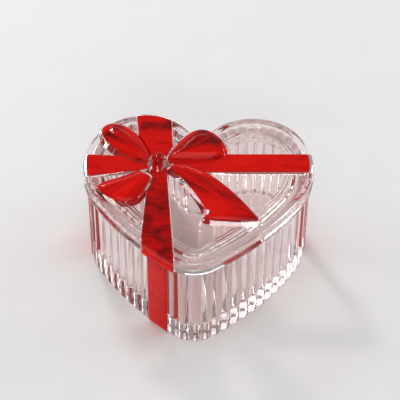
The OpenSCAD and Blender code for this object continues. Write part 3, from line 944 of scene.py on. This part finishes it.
def top_height(points, outline, rise, swell, spread, lean):
    """Height over the seat: a sloping wall that rolls over into a pillowed top."""
    d = distance_in(points, outline)
    share = np.clip((d - lean) / spread, 0, 1)
    top = rise + swell * (1 - (1 - share) ** 2)
    wall = rise * d / lean
    return FIELD_H - EDGE_SOFT * np.log(np.exp(-wall / EDGE_SOFT) + np.exp(-top / EDGE_SOFT))


def slab(name, outline, points, triangles, top_z, bottom_z, material):
    """A closed solid: a filled top, a wall and a filled bottom."""
    count = len(points)
    verts = np.vstack([np.column_stack([points, top_z]), np.column_stack([points, bottom_z])])
    faces = list(triangles)
    faces += [tuple(count + i for i in reversed(t)) for t in triangles]
    rim = len(outline)
    for i in range(rim):
        j = (i + 1) % rim
        faces.append((i, count + i, count + j, j))
    return piece(name, verts, faces, material)


def knot_band(outline):
    """The part of the knot that is coated: a band over its middle, back to front."""
    middle = outline.mean(axis=0)
    return middle + (outline - middle) * KNOT_BAND


# The side on which a loop's coat runs down to its foot
RUNS_DOWN = {"bow_loop_left": (0.80, 0.60), "bow_loop_right": (0.35, -0.94)}
relief = {}
coats = {}
for name, (outline, rise, swell, spread, lean) in BOW.items():
    points, triangles = filled(outline, [lean * e for e in EDGE_SHARES], GRID)
    top = SEAT_Z + top_height(points, outline, rise, swell, spread, lean)
    low = np.full(len(points), SEAT_Z + FIELD_H - ROOT)
    relief[name] = slab(name + "_relief", outline, points, triangles, top, low, glass)
    bare = np.full(len(outline), SKIN_BARE * lean)
    if name in RUNS_DOWN:
        facing = edge_normals(outline) @ np.array(RUNS_DOWN[name])
        bare *= 1 - SKIN_RUN * np.clip(SKIN_RUN_SPREAD * facing, 0, 1)
    skin_line = knot_band(outline) if name == "bow_knot" else drawn_in(outline, bare)
    points, triangles = filled(skin_line, SKIN_ROWS, GRID)
    top = SEAT_Z + top_height(points, outline, rise, swell, spread, lean)
    proud = np.where(np.arange(len(points)) < len(skin_line), SKIN_EDGE, COAT_RISE)
    coats[name] = slab(name + "_coat", skin_line, points, triangles, top + proud, top - COAT_SINK, ruby)
    print(name, "relief open edges:", open_edges(relief[name]),
          "coat open edges:", open_edges(coats[name]))

# %% [markdown]
# The ribbon is a flat band that lies level across the lid. Its arms flare from the knot to the rim,
# and each is laid out in rows along its section and columns across its width. Every column runs
# straight out from the knot, so it meets each ring of the heart where a line meets an arc. On
# three arms the coat stops on the rim's land, and at the front it goes on down the side.

# %% The arms of the ribbon
ARM_COLUMNS = 12
ARM_BEVEL = 0.35 * MM
TUCK = 1.6 * MM
LEAST_REACH = 4 * MM
LEAST_RUN = 1 * MM
RUN_SHARES = (0.34, 0.67, 1.0)
CORNER = 0.9 * MM
CORNER_POWER = 8
LEVEL_ROWS = 4
LEVEL_PAST = 1.5 * MM
# Each arm: the arc it crosses, its heading, and its widths under the knot and at the rim
ARMS = {
    "ribbon_right": (RIGHT_SHOULDER, math.radians(2.3), 15 * MM, 15 * MM),
    "ribbon_back": (LEFT_LOBE, math.radians(96.3), 17 * MM, 20 * MM),
    "ribbon_left": (LEFT_SHOULDER, math.radians(184.8), 9 * MM, 18.5 * MM),
    "ribbon_front": (LEFT_SIDE, math.radians(272.6), 9 * MM, 17 * MM),
}
# How far the foot of each arm's side stands out past its top
ARM_LEAN = {"ribbon_right": 1.1 * MM, "ribbon_back": 0.3 * MM, "ribbon_left": 1.1 * MM,
            "ribbon_front": 0.7 * MM}
# How far in from the lid's edge each coat stops
COAT_END = {"ribbon_right": 2.2 * MM, "ribbon_back": 2.0 * MM, "ribbon_left": 2.0 * MM}
soft_arm = cut_corners(ARM_PATH, 2)
print("arms:", len(ARMS), "rows on an arm's section:", len(soft_arm))


def grown(path, by):
    """A section moved outward along its own normals."""
    tangent = np.gradient(path, axis=0)
    tangent /= np.linalg.norm(tangent, axis=1)[:, None]
    return path + by * np.column_stack([-tangent[:, 1], tangent[:, 0]])


def reach_along(arm, start, ahead, inset):
    centre, radius, _, _, bulge = ARCS[arm[0]]
    q = start - np.array(centre)
    qd = float(q @ ahead)
    return -qd + math.sqrt(qd * qd - float(q @ q) + (radius - bulge * inset) ** 2)


def arm_line(arm, aside):
    """A line along the arm, at a distance aside of its middle at the rim."""
    ahead = np.array([math.cos(arm[1]), math.sin(arm[1])])
    left = np.array([-ahead[1], ahead[0]])
    start = KNOT + aside * arm[2] / arm[3] * left
    far = KNOT + reach_along(arm, KNOT, ahead, 0.0) * ahead + aside * left
    return start, (far - start) / np.linalg.norm(far - start)


def far_edge(start, ahead):
    """How far out a line from the knot last crosses an outline of the bow."""
    best = LEAST_REACH
    for outline, *_ in BOW.values():
        side = np.roll(outline, -1, axis=0) - outline
        lean = ahead[0] * side[:, 1] - ahead[1] * side[:, 0]
        off = outline - start
        u = (off[:, 0] * ahead[1] - off[:, 1] * ahead[0]) / lean
        t = (off[:, 0] * side[:, 1] - off[:, 1] * side[:, 0]) / lean
        hits = t[(u >= 0) & (u <= 1) & (t > 0)]
        best = max([best] + list(hits - TUCK))
    return best


def arm_grid(arm, asides, rises, paths):
    """Rows from the end of the arm in to the bow, with a rise over the section for each column."""
    columns = []
    for aside, rise, path in zip(asides, rises, paths):
        start, ahead = arm_line(arm, aside)
        points = []
        section = grown(path, rise)
        for inset, z in section:
            flat = start + reach_along(arm, start, ahead, inset) * ahead
            points.append((flat[0], flat[1], SEAT_Z + z))
        edge = reach_along(arm, start, ahead, section[-1][0])
        begin = min(far_edge(start, ahead), edge - LEAST_RUN)
        for share in RUN_SHARES:
            flat = start + (edge + (begin - edge) * share) * ahead
            points.append((flat[0], flat[1], SEAT_Z + section[-1][1]))
        columns.append(points)
    return np.array(columns).transpose(1, 0, 2)


def across_arm(half, bevel):
    inner = np.linspace(half - bevel, bevel - half, ARM_COLUMNS + 1)
    return np.concatenate([[half], inner, [-half]])


def top_path(end):
    """The level part of the section, from where a coat stops."""
    insets = np.linspace(end, LAND_IN + LEVEL_PAST, LEVEL_ROWS)
    return np.column_stack([insets, np.full(LEVEL_ROWS, RIM_H)])


# %% [markdown]
# Each arm is made twice, as the bow is: a clear band with sloping sides, and a red skin on its top
# that is a hair narrower. The skin's end is rounded, because the stain draws back at corners.

# %% Relief and coats of the arms
for name, arm in ARMS.items():
    half = arm[3] / 2
    asides = across_arm(half, ARM_BEVEL)
    count = len(asides)
    rises = np.full(count, RIBBON_RISE)
    rises[[0, -1]] -= ARM_BEVEL
    top = arm_grid(arm, asides, rises, [soft_arm] * count)
    feet = across_arm(half + ARM_LEAN[name], ARM_BEVEL)
    bottom = arm_grid(arm, feet, np.full(count, FIELD_H - RIM_H - ROOT), [soft_arm] * count)
    relief[name] = shell(name + "_relief", top, bottom, glass)
    half -= COAT_BARE
    asides = across_arm(half, ARM_BEVEL)
    paths = [soft_arm] * count
    if name in COAT_END:
        ends = COAT_END[name] + CORNER * np.abs(asides / half) ** CORNER_POWER
        paths = [top_path(end) for end in ends]
    rises = np.full(count, RIBBON_RISE + COAT_RISE)
    rises[[0, -1]] = RIBBON_RISE
    top = arm_grid(arm, asides, rises, paths)
    bottom = arm_grid(arm, asides, np.full(count, RIBBON_RISE - COAT_SINK), paths)
    coats[name] = shell(name + "_coat", top, bottom, ruby)
    print(name, "relief open edges:", open_edges(relief[name]),
          "coat open edges:", open_edges(coats[name]))

# %% [markdown]
# On the real lid the relief is the same glass as the lid, so the solids are united into one mesh
# and no wall is left inside. Each coat then stops where a taller piece of the bow stands on it,
# so the taller solids are cut out of the coats below.

# %% Join the relief to the lid and trim the coats
KNOT_OVER = ["bow_knot"]
LOOPS_OVER = ["bow_loop_left", "bow_loop_right", "bow_knot"]
TAILS_OVER = ["bow_tail_left", "bow_tail_right"] + LOOPS_OVER
OVER = {"bow_loop_left": KNOT_OVER, "bow_loop_right": KNOT_OVER,
        "bow_tail_left": LOOPS_OVER, "bow_tail_right": LOOPS_OVER}
for name in ARMS:
    OVER[name] = TAILS_OVER
for name, over in OVER.items():
    combine(coats[name], "DIFFERENCE", [relief[o] for o in over])
combine(lid, "UNION", list(relief.values()))
drop(relief.values())
SHARP = math.radians(38)
lid.data.set_sharp_from_angle(angle=SHARP)
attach(lid, "lid")
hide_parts("lid")
for name, coat in coats.items():
    coat.data.set_sharp_from_angle(angle=SHARP)
    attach(coat, "lid")
    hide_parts(name)
    print(coat.name, "faces:", len(coat.data.polygons), "open edges:", open_edges(coat))
print("lid faces:", len(lid.data.polygons), "open edges:", open_edges(lid))

# %% [markdown]
# The stage is a wide pale floor that keeps the jar's shadow. The sky is a plain grey, a little
# brighter above than at the horizon. A white one would be simpler, but glass and coat both mirror
# the sky, and white would wash out the red and hide the lines of the rim.

# %% Floor and sky
PALE_LOW = 0.83
PALE_HIGH = 0.87
FLOOR_HALF = 3.0
FLOOR_Z = -0.1 * MM
SKY = [(0.0, (0.30, 0.29, 0.29, 1.0)), (0.9, (0.34, 0.335, 0.335, 1.0))]
floor_mat, tree = new_material("pale_floor")
place = node(tree, "ShaderNodeTexCoord").outputs["Object"]
fibre = node(tree, "ShaderNodeTexNoise", {"Vector": place, "Scale": 40.0, "Detail": 4.0})
pale = fade(tree, fibre.outputs["Fac"], 0.0, 1.0, PALE_LOW, PALE_HIGH)
shader = node(tree, "ShaderNodeBsdfPrincipled", {"Base Color": pale, "Roughness": 0.7})
node(tree, "ShaderNodeOutputMaterial", {"Surface": shader.outputs["BSDF"]})
corners = [(x * FLOOR_HALF, y * FLOOR_HALF, FLOOR_Z) for x, y in ((-1, -1), (1, -1), (1, 1), (-1, 1))]
floor = piece("pale_floor", corners, [(0, 1, 2, 3)], floor_mat)

world = bpy.data.worlds.new("soft sky")
bpy.context.scene.world = world
world.use_nodes = True
tree = world.node_tree
tree.nodes.clear()
way = node(tree, "ShaderNodeTexCoord").outputs["Generated"]
up = node(tree, "ShaderNodeSeparateXYZ", {"Vector": way}).outputs["Z"]
back = node(tree, "ShaderNodeBackground", {"Color": ramp(tree, up, SKY), "Strength": 1.0})
node(tree, "ShaderNodeOutputWorld", {"Surface": back.outputs["Background"]})
print("floor and sky made")

# %% [markdown]
# Two boxes and a thin strip stand at the back, and a broad box hangs overhead. Strips at the front
# and at both sides draw white lines along the sloping walls of the relief and along the reeds.
# One large dome would be simpler, but its light has no edges for the glass to show.

# %% Lamps
def soft_box(name, place, aim, size, power):
    light = bpy.data.lights.new(name, "AREA")
    light.shape = "RECTANGLE"
    light.size = size[0]
    light.size_y = size[1]
    light.energy = power
    obj = bpy.data.objects.new(name, light)
    obj.location = place
    toward = Vector(aim) - Vector(place)
    obj.rotation_euler = toward.to_track_quat("-Z", "Y").to_euler()
    bpy.context.scene.collection.objects.link(obj)


JAR_MIDDLE = (0.0, 0.0, 0.04)
# Each lamp: its place, its width and height, and its power in watts
LAMPS = {
    "back_left_box": ((-0.38, 0.82, 0.76), (0.16, 0.08), 2.8),
    "back_right_box": ((0.65, 0.75, 0.55), (0.2, 0.1), 0.9),
    "back_strip": ((-0.15, 1.0, 0.56), (0.5, 0.06), 0.3),
    "right_strip": ((0.87, 0.22, 0.38), (0.5, 0.1), 1.7),
    "left_strip": ((-0.87, 0.22, 0.36), (0.45, 0.06), 1.4),
    "low_left_strip": ((-0.9, 0.12, 0.19), (0.5, 0.1), 1.5),
    "front_strip": ((0.0, -0.95, 0.56), (0.5, 0.1), 2.4),
    "top_box": ((0.0, 0.1, 1.3), (0.8, 0.8), 3.3),
}
for name, (stand, size, power) in LAMPS.items():
    soft_box(name, stand, JAR_MIDDLE, size, power)
print("lamps:", len(LAMPS))

# %% [markdown]
# The camera looks down on the jar at 42 degrees through a long lens. Its place was worked out
# from the jar's outline in the photograph, and a small roll is part of it, so the axes are built
# by hand instead of by a track constraint.

# %% Camera
CAMERA_AIM = Vector((2.06, -16.05, 64.23)) * MM
CAMERA_SIDE = math.radians(1.644)
CAMERA_UP = math.radians(42.526)
CAMERA_FAR = 669.5 * MM
CAMERA_ROLL = math.radians(0.477)
LENS_MM = 117.0
SENSOR_MM = 36.0
CAMERA_AT = CAMERA_AIM + CAMERA_FAR * Vector((math.sin(CAMERA_SIDE) * math.cos(CAMERA_UP),
                                              -math.cos(CAMERA_SIDE) * math.cos(CAMERA_UP),
                                              math.sin(CAMERA_UP)))
camera_data = bpy.data.cameras.new("photo_camera")
camera_data.lens = LENS_MM
camera_data.sensor_width = SENSOR_MM
camera_data.clip_start = 0.01
camera = bpy.data.objects.new("photo_camera", camera_data)
bpy.context.scene.collection.objects.link(camera)
look = (CAMERA_AIM - CAMERA_AT).normalized()
level_right = look.cross(Vector((0, 0, 1))).normalized()
level_up = level_right.cross(look)
right = math.cos(CAMERA_ROLL) * level_right + math.sin(CAMERA_ROLL) * level_up
up = math.cos(CAMERA_ROLL) * level_up - math.sin(CAMERA_ROLL) * level_right
turn = Matrix((right, up, -look)).transposed().to_4x4()
camera.matrix_world = Matrix.Translation(CAMERA_AT) @ turn
bpy.context.scene.camera = camera
bpy.context.scene.view_settings.view_transform = "Standard"
print("camera at", [round(c, 4) for c in CAMERA_AT])
